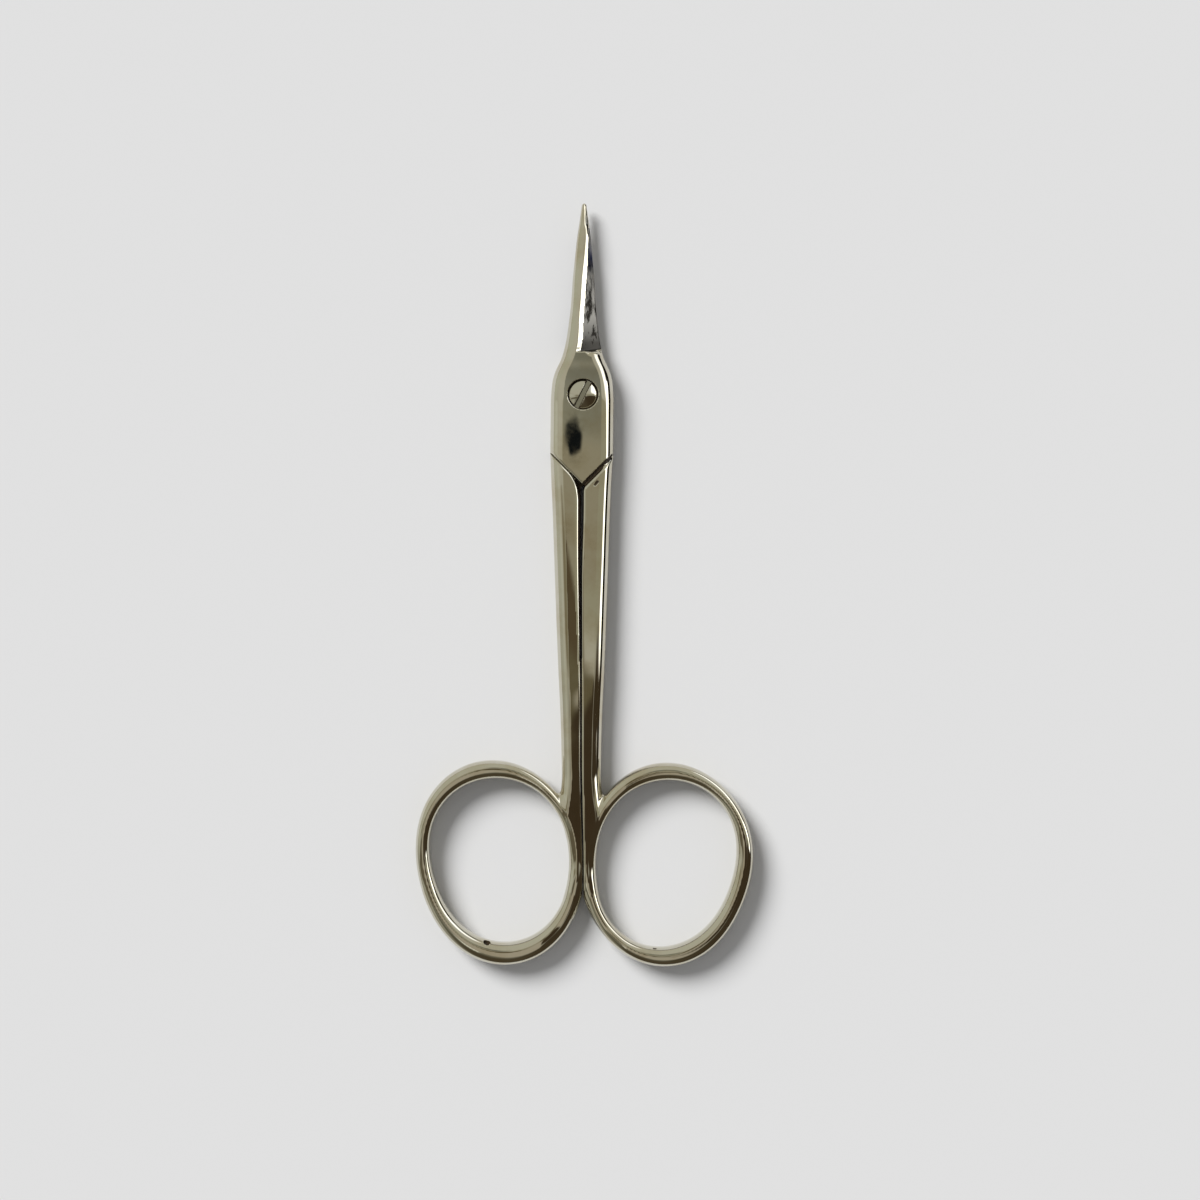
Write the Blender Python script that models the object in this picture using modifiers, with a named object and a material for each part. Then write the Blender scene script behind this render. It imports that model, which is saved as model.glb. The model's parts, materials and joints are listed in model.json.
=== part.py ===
"""Manicure scissors: two forged halves in a lap joint and the slotted pivot screw.

The closed scissors lie flat: +Z up from the table, +Y towards the tip, +X to the
right. Each half is modelled in its own frame, with the pivot axis as Z, the
parting plane at z = 0 and its own shank and finger ring on the +X side. The lower
half is the same forging turned half a turn about the long axis.
"""

import math
from dataclasses import dataclass

import bmesh
import bpy
import numpy as np
from mathutils import Vector

MM = 0.001

# Driving sizes of the pair
THICKNESS = 3.4 * MM
PARTING_GAP = 0.08 * MM
TIP_REACH = 22.6 * MM
SHOULDER_REACH = 5.3 * MM
BOX_WIDTH = 7.44 * MM
BOX_TOP_REACH = 0.6 * MM
LAP_REACH = 10.7 * MM
TIP_OFFSET = 0.15 * MM
BOX_OFFSET = -0.18 * MM
LAP_HALF_ANGLE = math.radians(45.0)
EDGE_ROUND = 1.15 * MM
CUT_OVERRUN = 1.5 * MM

# Blade
BLADE_ROOT_WIDTH = 4.36 * MM
BLADE_ROOT_HEIGHT = 1.5 * MM
BLADE_TIP_WIDTH = 0.5 * MM
BLADE_TIP_HEIGHT = 0.5 * MM
SPINE_BAND = 1.15 * MM
GRIND_STRIP = 0.5 * MM
GRIND_STRIP_SLOPE = math.radians(21.0)
CUTTING_EDGE = 0.15 * MM

# Shank, from the lap down to the crotch where it meets the finger ring
CROTCH_REACH = 45.0 * MM
CROTCH_WIDTH = 4.6 * MM
SHANK_END_REACH = 56.0 * MM
SHANK_END_WIDTH = 2.2 * MM
WEB_HEIGHT = 1.8 * MM
WEB_DEPTH = 3.7 * MM
WEB_SINK = 0.7 * MM
WEB_BITE = 0.07 * MM

# Finger rings: the widest place of each, measured square to the scissors and along them
RING_TOP_REACH = 43.0 * MM
RING_WIDTH = 20.0 * MM
RING_LENGTH = 24.3 * MM
RING_HEIGHT = 3.3 * MM

# Dividing groove across the box face
GROOVE_WIDTH = 0.42 * MM
GROOVE_DEPTH = 0.3 * MM

# Pivot screw
SCREW_HEAD_DIAMETER = 3.4 * MM
SCREW_HEAD_HEIGHT = 0.75 * MM
SCREW_HEAD_DOME = 0.16 * MM
SCREW_SHANK_DIAMETER = 2.0 * MM
SCREW_SLOT_WIDTH = 0.66 * MM
SCREW_SLOT_DEPTH = 0.45 * MM
SCREW_SLOT_TURN = math.radians(-26.0)
SCREW_END_RECESS = 0.1 * MM
HEAD_SINK_CLEARANCE = 0.2 * MM
HEAD_SEAT_CLEARANCE = 0.05 * MM
RUNNING_CLEARANCE = 0.05 * MM

# Shares of the way from the tip to the shoulder, and of the tip-to-root width
blade_outline_shares = (
    (0.0, 0.0),
    (0.05, 0.06),
    (0.11, 0.13),
    (0.25, 0.3),
    (0.38, 0.41),
    (0.52, 0.53),
    (0.66, 0.6),
    (0.79, 0.71),
    (0.93, 0.88),
    (1.0, 1.0),
)
# Shares of the way from the shoulder to the full box, and of that widening
neck_outline_shares = ((0.0, 0.0), (0.2, 0.24), (0.4, 0.62), (0.6, 0.86), (0.8, 0.95), (1.0, 1.0))
# Shares of the way from the lap to the crotch, and of that narrowing
shank_outline_shares = ((0.0, 0.0), (0.16, 0.2), (0.4, 0.42), (0.65, 0.67), (0.82, 0.88), (1.0, 1.0))
# Shares of the way from the crotch to the shank's end, and of that narrowing
merge_outline_shares = ((0.0, 0.0), (0.35, 0.3), (0.7, 0.75), (1.0, 1.0))
# Shares of the way from the shoulder to the tip, and of the blade's loss of height
blade_height_shares = ((0.0, 0.0), (0.35, 0.3), (0.7, 0.68), (1.0, 1.0))

SECTION_CORNER_STEPS = 5
RING_STATIONS = 44
RING_SECTION_POINTS = 14
RING_SECTION_POWER = 2.4
ROUND_STEPS = 32


@dataclass(frozen=True)
class Ellipse:
    """Tilted ellipse in the plane of the scissors, in shares of a ring's half width and length."""

    side_share: float
    reach_share: float
    width_share: float
    length_share: float
    tilt: float

    def point(self, angle):
        """Point at an angle round the ellipse, from the pivot axis."""
        along = self.width_share * RING_WIDTH / 2 * math.cos(angle)
        up = self.length_share * RING_LENGTH / 2 * math.sin(angle)
        turn_cos, turn_sin = math.cos(self.tilt), math.sin(self.tilt)
        side = self.side_share * RING_WIDTH / 2
        reach = RING_TOP_REACH + self.reach_share * RING_LENGTH / 2
        return Vector((
            side + along * turn_cos - up * turn_sin,
            -reach + along * turn_sin + up * turn_cos,
            0.0,
        ))


@dataclass(frozen=True)
class Ring:
    """Finger ring of one half: a wire of varying width between its hole and its rim."""

    hole: Ellipse
    rim: Ellipse
    web_start: float

    def rim_points(self):
        return [self.rim.point(2 * math.pi * step / RING_STATIONS) for step in range(RING_STATIONS)]


UPPER_RING = Ring(
    hole=Ellipse(side_share=0.962, reach_share=1.003, width_share=0.823, length_share=0.829,
                 tilt=math.radians(-14.0)),
    rim=Ellipse(side_share=0.989, reach_share=1.013, width_share=1.02, length_share=0.994,
                tilt=math.radians(-6.7)),
    web_start=math.radians(104.0))
LOWER_RING = Ring(
    hole=Ellipse(side_share=0.976, reach_share=0.963, width_share=0.816, length_share=0.809,
                 tilt=math.radians(-11.5)),
    rim=Ellipse(side_share=0.984, reach_share=0.991, width_share=0.985, length_share=1.009,
                tilt=math.radians(-11.6)),
    web_start=math.radians(100.0))


def smooth_value(points, at):
    """Read a smooth curve without overshoot through (position, value) points."""
    places = np.array([place for place, _ in points])
    values = np.array([value for _, value in points])
    widths = np.diff(places)
    slopes = np.diff(values) / widths
    tangents = np.concatenate(([slopes[0]], (slopes[:-1] + slopes[1:]) / 2, [slopes[-1]]))
    tangents[1:-1] = np.where(slopes[:-1] * slopes[1:] <= 0.0, 0.0, tangents[1:-1])
    span = int(np.clip(np.searchsorted(places, at) - 1, 0, len(widths) - 1))
    width = widths[span]
    share = min(max((at - places[span]) / width, 0.0), 1.0)
    rise = values[span + 1] - values[span]
    start, end = tangents[span] * width, tangents[span + 1] * width
    cubic = start + end - 2 * rise
    square = 3 * rise - 2 * start - end
    return float(values[span] + start * share + square * share ** 2 + cubic * share ** 3)


def share_between(shares, start, end, low, high, at):
    """Value at a place between start and end, along a curve of shares from low to high."""
    return low + (high - low) * smooth_value(shares, (at - start) / (end - start))


def half_width(y):
    """Half of the closed pair's width at a place along the scissors."""
    if y > SHOULDER_REACH:
        return share_between(blade_outline_shares, TIP_REACH, SHOULDER_REACH,
                             BLADE_TIP_WIDTH / 2, BLADE_ROOT_WIDTH / 2, y)
    if y > -BOX_TOP_REACH:
        return share_between(neck_outline_shares, SHOULDER_REACH, -BOX_TOP_REACH,
                             BLADE_ROOT_WIDTH / 2, BOX_WIDTH / 2, y)
    if y > -(LAP_REACH - BOX_WIDTH / 2):
        return BOX_WIDTH / 2
    if y > -CROTCH_REACH:
        return share_between(shank_outline_shares, -(LAP_REACH - BOX_WIDTH / 2), -CROTCH_REACH,
                             BOX_WIDTH / 2, CROTCH_WIDTH / 2, y)
    return share_between(merge_outline_shares, -CROTCH_REACH, -SHANK_END_REACH,
                         CROTCH_WIDTH / 2, SHANK_END_WIDTH / 2, y)


def half_height(y):
    """Height of the forging above the parting plane at a place along the scissors."""
    if y > SHOULDER_REACH:
        return share_between(blade_height_shares, SHOULDER_REACH, TIP_REACH,
                             BLADE_ROOT_HEIGHT, BLADE_TIP_HEIGHT, y)
    if y > -BOX_TOP_REACH:
        return share_between(neck_outline_shares, SHOULDER_REACH, -BOX_TOP_REACH,
                             BLADE_ROOT_HEIGHT, THICKNESS / 2, y)
    return THICKNESS / 2


def edge_round(y):
    """Radii across and up of the rounded edge, no more than the section can hold."""
    across = min(EDGE_ROUND, 0.9 * half_width(y))
    up = min(EDGE_ROUND, 0.8 * half_height(y))
    return across, up


def top_height(x, y):
    """Height of the forging's upper surface above the parting plane."""
    across, up = edge_round(y)
    flat = half_width(y) - across
    past = min(max((abs(x) - flat) / across, 0.0), 1.0)
    return half_height(y) - up + up * math.sqrt(1.0 - past ** 2)


def line_offset(y):
    """Sideways offset of the closed pair's middle from the pivot axis, to the right."""
    return share_between(((0.0, 0.0), (1.0, 1.0)), TIP_REACH, -LAP_REACH, TIP_OFFSET, BOX_OFFSET, y)


def forging_section(y, middle):
    """Rounded rectangle across the forging, as points in the XZ plane."""
    across, up = edge_round(y)
    flat_side, flat_up = half_width(y) - across, half_height(y) - up
    points = []
    for quarter, (side, lift) in enumerate(((1, 1), (-1, 1), (-1, -1), (1, -1))):
        for step in range(SECTION_CORNER_STEPS + 1):
            angle = math.pi / 2 * (quarter + step / SECTION_CORNER_STEPS)
            points.append(Vector((
                middle + side * flat_side + across * math.cos(angle), y,
                lift * flat_up + up * math.sin(angle))))
    return points


def forging_stations():
    """Places of the cross-sections, from the tip down to the shank's end."""
    blade = np.linspace(TIP_REACH, SHOULDER_REACH, 15)
    neck = np.linspace(SHOULDER_REACH, -BOX_TOP_REACH, 9)[1:]
    lap = [-(LAP_REACH - BOX_WIDTH / 2)]
    shank = np.linspace(lap[0], -CROTCH_REACH, 8)[1:]
    merge = np.linspace(-CROTCH_REACH, -SHANK_END_REACH, 5)[1:]
    return [float(y) for y in (*blade, *neck, *lap, *shank, *merge)]


def remove_scene_objects():
    for item in list(bpy.data.objects):
        bpy.data.objects.remove(item, do_unlink=True)


def new_collection(name):
    collection = bpy.data.collections.new(name)
    bpy.context.scene.collection.children.link(collection)
    return collection


def new_material(name, colour, roughness):
    """Metallic Principled material for one piece."""
    material = bpy.data.materials.new(name)
    material.use_nodes = True
    shader = material.node_tree.nodes["Principled BSDF"]
    shader.inputs["Base Color"].default_value = (*colour, 1.0)
    shader.inputs["Metallic"].default_value = 1.0
    shader.inputs["Roughness"].default_value = roughness
    material.diffuse_color = (*colour, 1.0)
    return material


def mesh_object(name, mesh, collection):
    item = bpy.data.objects.new(name, mesh)
    collection.objects.link(item)
    return item


def mark_cutter(item):
    item.hide_render = True
    item.display_type = "WIRE"
    return item


def smooth_round_faces(mesh):
    mesh.shade_smooth()
    mesh.set_sharp_from_angle(angle=math.radians(35.0))


def loft(name, sections, collection, closed=False):
    """Skin equal rings of points, capped at both ends unless the loft closes on itself."""
    count = len(sections[0])
    vertices = [tuple(point) for section in sections for point in section]
    last = len(sections) if closed else len(sections) - 1
    faces = []
    for row in range(last):
        low, high = row * count, (row + 1) % len(sections) * count
        for column in range(count):
            following = (column + 1) % count
            faces.append((low + column, low + following, high + following, high + column))
    if not closed:
        faces.append(tuple(reversed(range(count))))
        faces.append(tuple(range((len(sections) - 1) * count, len(sections) * count)))
    mesh = bpy.data.meshes.new(name)
    mesh.from_pydata(vertices, [], faces)
    work = bmesh.new()
    work.from_mesh(mesh)
    bmesh.ops.recalc_face_normals(work, faces=work.faces)
    work.to_mesh(mesh)
    work.free()
    smooth_round_faces(mesh)
    return mesh_object(name, mesh, collection)


def plan_prism(name, outline, low, high, collection):
    """Mesh prism over a flat outline, made from an extruded 2D curve."""
    curve = bpy.data.curves.new(name, "CURVE")
    curve.dimensions = "2D"
    curve.fill_mode = "BOTH"
    curve.extrude = (high - low) / 2
    spline = curve.splines.new("POLY")
    spline.points.add(len(outline) - 1)
    for point, (x, y) in zip(spline.points, outline):
        point.co = (x, y, 0.0, 1.0)
    spline.use_cyclic_u = True
    guide = mesh_object(name + "_outline", curve, collection)
    guide.location = (0.0, 0.0, (high + low) / 2)
    bpy.context.view_layer.update()
    evaluated = guide.evaluated_get(bpy.context.evaluated_depsgraph_get())
    mesh = bpy.data.meshes.new_from_object(evaluated)
    work = bmesh.new()
    work.from_mesh(mesh)
    bmesh.ops.remove_doubles(work, verts=work.verts, dist=0.001 * MM)
    bmesh.ops.recalc_face_normals(work, faces=work.faces)
    work.to_mesh(mesh)
    work.free()
    item = mesh_object(name, mesh, collection)
    item.matrix_world = guide.matrix_world
    bpy.data.objects.remove(guide, do_unlink=True)
    return item


def turned(name, profile, collection):
    """Turn a (radius, height) profile, listed from top to bottom, about Z."""
    mesh = bpy.data.meshes.new(name)
    vertices = [(radius, 0.0, height) for radius, height in profile]
    edges = [(index, index + 1) for index in range(len(profile) - 1)]
    mesh.from_pydata(vertices, edges, [])
    item = mesh_object(name, mesh, collection)
    screw = item.modifiers.new("turn", "SCREW")
    screw.steps = ROUND_STEPS
    screw.render_steps = ROUND_STEPS
    screw.use_merge_vertices = True
    screw.merge_threshold = 0.0001 * MM
    screw.use_smooth_shade = True
    return item


def combine(item, other, operation):
    boolean = item.modifiers.new(other.name, "BOOLEAN")
    boolean.operation = operation
    boolean.solver = "EXACT"
    boolean.object = other
    return boolean


class ScissorHalf:
    """One forged half: blade, half of the box, shank and finger ring."""

    def __init__(self, name, ring, lean, parts, cutters, material):
        self.name = name
        self.ring = ring
        self.lean = lean
        self.cutters = cutters
        sections = [forging_section(y, self.middle(y)) for y in forging_stations()]
        self.body = loft(name, sections, parts)
        self.body.data.materials.append(material)
        self.add_ring()
        self.add_web()
        self.cut_seam()
        self.cut_lap()
        self.grind_blade()
        self.cut_groove()

    def middle(self, y):
        """Middle of the forging at a place, in this half's own frame."""
        return self.lean * line_offset(y)

    def cutter_name(self, what):
        return self.name + "_" + what

    def subtract(self, cutter):
        combine(self.body, mark_cutter(cutter), "DIFFERENCE")

    def add_ring(self):
        """Join the finger ring: oval sections that follow the hole and the rim."""
        sections = []
        for station in range(RING_STATIONS):
            angle = 2 * math.pi * station / RING_STATIONS
            hole, rim = self.ring.hole.point(angle), self.ring.rim.point(angle)
            centre, reach = (hole + rim) / 2, (rim - hole) / 2
            section = []
            for point in range(RING_SECTION_POINTS):
                turn = 2 * math.pi * point / RING_SECTION_POINTS
                across = math.copysign(abs(math.cos(turn)) ** (2 / RING_SECTION_POWER), math.cos(turn))
                up = math.copysign(abs(math.sin(turn)) ** (2 / RING_SECTION_POWER), math.sin(turn))
                section.append(centre + reach * across + Vector((0.0, 0.0, up * RING_HEIGHT / 2)))
            sections.append(section)
        ring = loft(self.cutter_name("ring"), sections, self.cutters, closed=True)
        combine(self.body, mark_cutter(ring), "UNION")

    def add_web(self):
        """Fill the crotch between shank and ring with a thinner web."""
        inside = self.middle(-CROTCH_REACH) + half_width(-CROTCH_REACH) - WEB_SINK
        start = self.ring.rim.point(self.ring.web_start)
        outline = ((start.x, start.y - WEB_BITE), (inside, -CROTCH_REACH),
                   (inside, -CROTCH_REACH - WEB_DEPTH),
                   (inside + 2 * WEB_SINK, -CROTCH_REACH - WEB_DEPTH),
                   (start.x, start.y - WEB_SINK))
        web = plan_prism(self.cutter_name("web"), outline, -WEB_HEIGHT / 2, WEB_HEIGHT / 2, self.cutters)
        combine(self.body, mark_cutter(web), "UNION")

    def cut_seam(self):
        """Clear what belongs to the other half: beyond the seam and below the lap line."""
        inner, far = PARTING_GAP / 2, BOX_WIDTH
        low = min(point.y for point in self.ring.rim_points()) - CUT_OVERRUN
        apex = -LAP_REACH + PARTING_GAP / 2 / math.sin(LAP_HALF_ANGLE)
        rise = 1.0 / math.tan(LAP_HALF_ANGLE)
        outline = ((inner, low), (inner, apex - inner * rise), (0.0, apex),
                   (-far, apex + far * rise), (-far, low))
        self.subtract(plan_prism(self.cutter_name("seam_cut"), outline, -THICKNESS, THICKNESS,
                                 self.cutters))

    def cut_lap(self):
        """Halve the thickness of box and blade along the parting plane."""
        apex = -LAP_REACH - PARTING_GAP / 2 / math.sin(LAP_HALF_ANGLE)
        rise = 1.0 / math.tan(LAP_HALF_ANGLE)
        far, top = BOX_WIDTH, TIP_REACH + CUT_OVERRUN
        outline = ((-far, apex), (0.0, apex), (far, apex + far * rise), (far, top), (-far, top))
        self.subtract(plan_prism(self.cutter_name("lap_cut"), outline, -THICKNESS, PARTING_GAP / 2,
                                 self.cutters))

    def grind_blade(self):
        """Grind the bevel: a narrow strip beside the spine, then down to the cutting edge."""
        sections = []
        for y in np.linspace(SHOULDER_REACH, TIP_REACH + CUT_OVERRUN, 15):
            place = min(float(y), TIP_REACH)
            width, middle = half_width(place), self.middle(place)
            side = middle + width
            ridge = middle + min(SPINE_BAND - width, width - PARTING_GAP)
            ridge_height = top_height(ridge - middle, place)
            strip = min(GRIND_STRIP, (side - ridge) / 3)
            strip_drop = strip * math.tan(GRIND_STRIP_SLOPE)
            edge_drop = ridge_height - strip_drop - CUTTING_EDGE
            slope = edge_drop / (side - ridge - strip)
            lead = EDGE_ROUND / 2
            sections.append([
                Vector((ridge - lead, y, ridge_height + lead * math.tan(GRIND_STRIP_SLOPE))),
                Vector((ridge + strip, y, ridge_height - strip_drop)),
                Vector((side + lead, y, CUTTING_EDGE - slope * lead)),
                Vector((side + lead, y, THICKNESS)),
                Vector((ridge - lead, y, THICKNESS)),
            ])
        self.subtract(loft(self.cutter_name("grind"), sections, self.cutters))

    def cut_groove(self):
        """Cut the dividing groove that mirrors the lap line on the box face."""
        length = BOX_WIDTH / math.sin(LAP_HALF_ANGLE)
        half = GROOVE_WIDTH / 2
        outline = ((0.0, -half), (length, -half), (length, half), (0.0, half))
        cutter = plan_prism(self.cutter_name("groove"), outline,
                            THICKNESS / 2 - GROOVE_DEPTH, THICKNESS, self.cutters)
        cutter.location.y = -LAP_REACH
        cutter.rotation_euler.z = math.pi / 2 - LAP_HALF_ANGLE
        self.subtract(cutter)

    def bore(self, what, radius, low, high):
        """Cut a round hole on the pivot axis between two heights."""
        profile = ((0.0, high), (radius, high), (radius, low), (0.0, low))
        self.subtract(turned(self.cutter_name(what), profile, self.cutters))


class PivotScrew:
    """Slotted screw: head sunk in the upper half, end threaded into the lower half."""

    def __init__(self, name, parts, cutters, material):
        self.head_seat = THICKNESS / 2 - SCREW_HEAD_HEIGHT + SCREW_HEAD_DOME / 2
        radius = SCREW_HEAD_DIAMETER / 2
        side_top = self.head_seat + SCREW_HEAD_HEIGHT - SCREW_HEAD_DOME
        dome = []
        for turn in np.linspace(0.0, math.pi / 2, 7):
            dome.append((radius * math.sin(turn), side_top + SCREW_HEAD_DOME * math.cos(turn)))
        shank, end = SCREW_SHANK_DIAMETER / 2, -THICKNESS / 2 + SCREW_END_RECESS
        profile = (*dome, (radius, self.head_seat), (shank, self.head_seat), (shank, end), (0.0, end))
        self.body = turned(name, profile, parts)
        self.body.data.materials.append(material)
        half, reach = SCREW_SLOT_WIDTH / 2, radius + CUT_OVERRUN
        outline = ((-half, -reach), (half, -reach), (half, reach), (-half, reach))
        top = self.head_seat + SCREW_HEAD_HEIGHT
        slot = plan_prism(name + "_slot", outline, top - SCREW_SLOT_DEPTH, top + CUT_OVERRUN, cutters)
        slot.rotation_euler.z = SCREW_SLOT_TURN
        combine(self.body, mark_cutter(slot), "DIFFERENCE")


def pivot_place():
    """Pivot position that puts the origin under the middle of the closed scissors."""
    right = max(point.x for point in UPPER_RING.rim_points())
    left = max(point.x for point in LOWER_RING.rim_points())
    low = min(point.y for point in (*UPPER_RING.rim_points(), *LOWER_RING.rim_points()))
    return Vector(((left - right) / 2, -(TIP_REACH + low) / 2, THICKNESS / 2))


def build():
    """Build the scissors closed and lying flat."""
    remove_scene_objects()
    parts = new_collection("manicure_scissors")
    cutters = new_collection("manicure_scissors_cutters")
    plated = new_material("nickel_plate", (0.66, 0.62, 0.53), 0.12)
    screw_steel = new_material("screw_steel", (0.6, 0.57, 0.5), 0.16)

    pivot = mesh_object("pivot_axis", None, parts)
    pivot.location = pivot_place()

    upper = ScissorHalf("upper_half", UPPER_RING, 1, parts, cutters, plated)
    lower = ScissorHalf("lower_half", LOWER_RING, -1, parts, cutters, plated)
    screw = PivotScrew("pivot_screw", parts, cutters, screw_steel)

    shank_radius = SCREW_SHANK_DIAMETER / 2 + RUNNING_CLEARANCE
    sink_radius = SCREW_HEAD_DIAMETER / 2 + HEAD_SINK_CLEARANCE
    for half in (upper, lower):
        half.bore("shank_hole", shank_radius, -THICKNESS, THICKNESS)
    upper.bore("head_sink", sink_radius, screw.head_seat - HEAD_SEAT_CLEARANCE, THICKNESS)

    frames = {upper: 0.0, lower: math.pi}
    for half, turn in frames.items():
        frame = mesh_object(half.cutter_name("frame"), None, cutters)
        frame.parent = pivot
        frame.rotation_euler.y = turn
        half.body.parent = frame
    screw.body.parent = pivot
    for cutter in cutters.objects:
        if cutter.type != "MESH":
            continue
        owner = next((half for half in frames if cutter.name.startswith(half.name)), None)
        cutter.parent = owner.body if owner else screw.body


build()
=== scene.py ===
"""Manicure scissors dressed for display: plated halves, ground blades, slotted screw and a small studio."""

import json
import logging
import math
from collections.abc import Callable, Iterable, Mapping
from dataclasses import dataclass
from enum import Enum, IntEnum
from functools import cached_property

import bpy
import numpy as np
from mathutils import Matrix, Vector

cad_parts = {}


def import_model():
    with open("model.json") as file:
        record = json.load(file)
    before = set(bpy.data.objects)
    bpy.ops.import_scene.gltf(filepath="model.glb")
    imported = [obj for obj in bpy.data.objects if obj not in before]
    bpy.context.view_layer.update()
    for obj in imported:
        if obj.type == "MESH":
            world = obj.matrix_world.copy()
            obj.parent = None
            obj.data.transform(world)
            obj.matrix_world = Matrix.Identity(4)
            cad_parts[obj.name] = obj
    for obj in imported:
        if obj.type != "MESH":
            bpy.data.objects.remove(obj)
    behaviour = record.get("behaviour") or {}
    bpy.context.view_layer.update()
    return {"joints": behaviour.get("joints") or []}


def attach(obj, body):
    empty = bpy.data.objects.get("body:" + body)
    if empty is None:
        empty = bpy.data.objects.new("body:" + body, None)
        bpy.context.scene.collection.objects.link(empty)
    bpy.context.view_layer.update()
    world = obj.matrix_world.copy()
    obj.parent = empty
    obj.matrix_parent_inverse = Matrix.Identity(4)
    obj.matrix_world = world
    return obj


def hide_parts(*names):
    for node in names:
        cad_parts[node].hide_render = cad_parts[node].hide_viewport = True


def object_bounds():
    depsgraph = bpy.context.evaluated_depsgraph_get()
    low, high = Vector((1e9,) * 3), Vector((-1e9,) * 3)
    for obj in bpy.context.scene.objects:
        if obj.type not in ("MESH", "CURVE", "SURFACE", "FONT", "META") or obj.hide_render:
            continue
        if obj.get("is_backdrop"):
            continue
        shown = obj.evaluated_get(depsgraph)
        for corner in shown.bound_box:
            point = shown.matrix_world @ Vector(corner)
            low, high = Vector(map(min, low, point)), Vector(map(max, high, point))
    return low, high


LOG = logging.getLogger("scissors")
MM = 0.001

Array = np.ndarray
Place = Array | tuple[Array, Array, Array]
Field = Callable[[Place], Array]
Pair = tuple[float, float]
Triple = tuple[float, float, float]
Span = Pair
Colour = tuple[float, float, float, float]
Tree = bpy.types.NodeTree
Node = bpy.types.Node
Socket = bpy.types.NodeSocket
Material = bpy.types.Material
Object = bpy.types.Object


class Slot(Enum):
    """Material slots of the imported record."""

    NICKEL_PLATE = "nickel_plate"
    SCREW_STEEL = "screw_steel"


class Finish(IntEnum):
    """Material index of a face."""

    PLATED = 0
    GROUND = 1
    LAPPED = 2
    # Painted shade: a dark finish laid where seams and recesses fall into shade.
    PAINTED_SHADE = 3


# Shape helpers.


def round_max(first: Array, second: Array, radius: Array | float) -> Array:
    """Intersect two solids and round the edge between them.

    Args:
        first: Field of one solid, negative inside, in mm.
        second: Field of the other solid.
        radius: Radius of the rounded edge in mm.

    Returns:
        Field of the common part.
    """
    over_first = np.maximum(first + radius, 0.0)
    over_second = np.maximum(second + radius, 0.0)
    return np.minimum(np.maximum(first, second), -radius) + np.hypot(over_first, over_second)


def fillet_min(first: Array, second: Array, radius: Array | float) -> Array:
    """Join two solids and fill the corner between them.

    Args:
        first: Field of one solid, negative inside, in mm.
        second: Field of the other solid.
        radius: Radius of the fillet in mm.

    Returns:
        Field of the joined solid.
    """
    under_first = np.maximum(radius - first, 0.0)
    under_second = np.maximum(radius - second, 0.0)
    return np.maximum(np.minimum(first, second), radius) - np.hypot(under_first, under_second)


def ease(start: float, end: float, value: Array) -> Array:
    """Rise smoothly from 0 to 1 between two values.

    Args:
        start: Value at which the rise starts.
        end: Value at which it ends.
        value: Where it is read.

    Returns:
        Share of the rise at each value.
    """
    share = np.clip((value - start) / (end - start), 0.0, 1.0)
    return share * share * (3.0 - 2.0 * share)


def eased(low: float, high: float, span: Span, value: Array) -> Array:
    """Pass smoothly from one value to another between the two ends of a span."""
    return low + (high - low) * ease(*span, value)


@dataclass(frozen=True)
class ShareCurve:
    """Smooth curve without overshoot through (place, value) pairs, both from 0 to 1."""

    points: tuple[Pair, ...]

    def __call__(self, at: Array) -> Array:
        """Read the curve.

        Args:
            at: Places from 0 to 1.

        Returns:
            Value at each place.
        """
        places, values = np.array(self.points).T
        widths = np.diff(places)
        slopes = np.diff(values) / widths
        inner = np.where(slopes[:-1] * slopes[1:] <= 0.0, 0.0, (slopes[:-1] + slopes[1:]) / 2)
        tangents = np.concatenate((slopes[:1], inner, slopes[-1:]))
        span = np.clip(np.searchsorted(places, at) - 1, 0, len(widths) - 1)
        width = widths[span]
        share = np.clip((at - places[span]) / width, 0.0, 1.0)
        rise = np.diff(values)[span]
        start, end = tangents[span] * width, tangents[span + 1] * width
        return (values[span] + start * share + (3 * rise - 2 * start - end) * share**2
                + (start + end - 2 * rise) * share**3)


def grid_places(*stretches: Triple) -> Array:
    """Lay out grid places along an axis.

    Args:
        *stretches: (start, end, step) of each stretch in mm, in rising order.

    Returns:
        Rising places, with each stretch divided evenly.
    """
    parts = []
    for start, end, step in stretches:
        count = max(1, round((end - start) / step))
        parts.append(np.linspace(start, end, count, endpoint=False))
    return np.concatenate([*parts, [stretches[-1][1]]])


@dataclass
class Skin:
    """Mesh of a solid's surface, in mm: vertices, quads, and a normal for each corner of each quad."""

    vertices: Array
    quads: Array
    normals: Array

    def centres(self) -> Array:
        """Middle of each quad."""
        return self.vertices[self.quads].mean(axis=1)


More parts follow.
